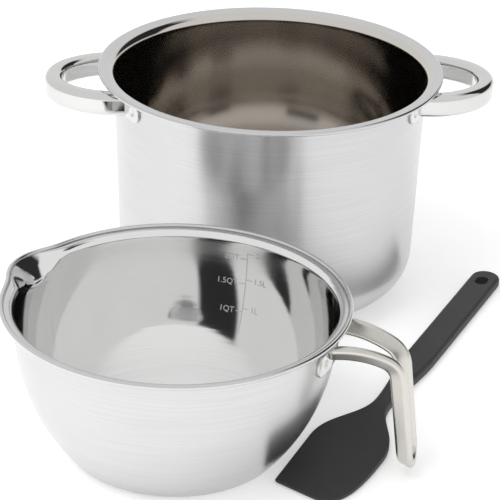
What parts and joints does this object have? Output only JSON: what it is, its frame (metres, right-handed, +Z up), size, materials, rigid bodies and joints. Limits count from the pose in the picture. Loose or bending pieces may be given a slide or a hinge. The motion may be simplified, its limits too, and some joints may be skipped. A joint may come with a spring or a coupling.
{
  "type": "double boiler",
  "caption": "Stockpot with looped side handles, a spouted bowl with a hairpin handle that hangs in its mouth, and a flat silicone spatula beside them.",
  "frame": {"origin": "middle of the pot's underside, on the surface that the set stands on", "axes": "+Z up along the pot's axis, +X through the pot's right handle, -Y towards the bowl"},
  "size_m": [0.3355, 0.4457, 0.159],
  "materials": {
    "pot_steel": "brushed outside, polished inside",
    "bowl_steel": "brushed outside, polished inside",
    "handle_steel": "polished",
    "strip_steel": "satin",
    "base_aluminium": "plain",
    "silicone": "matt silicone",
    "nylon": "matt"
  },
  "bodies": {
    "pot": {"pot_shell": "pot_steel", "pot_base_core": "base_aluminium", "pot_base_cap": "pot_steel", "pot_strap_left": "handle_steel", "pot_strap_right": "handle_steel", "pot_handle_left": "handle_steel", "pot_handle_right": "handle_steel"},
    "bowl": {"bowl_shell": "bowl_steel", "bowl_strap": "bowl_steel", "bowl_handle": "strip_steel"},
    "spatula": {"spatula_silicone": "silicone", "spatula_core": "nylon"}
  },
  "joints": [
    {"name": "bowl_lift", "type": "slide", "parent": "pot", "child": "bowl", "axis": [0, 0, 1], "range_m": [0, 0.2]},
    {"name": "spatula_pull", "type": "slide", "parent": "pot", "child": "spatula", "axis": [0.4618, 0.887, 0], "range_m": [0, 0.2]}
  ]
}
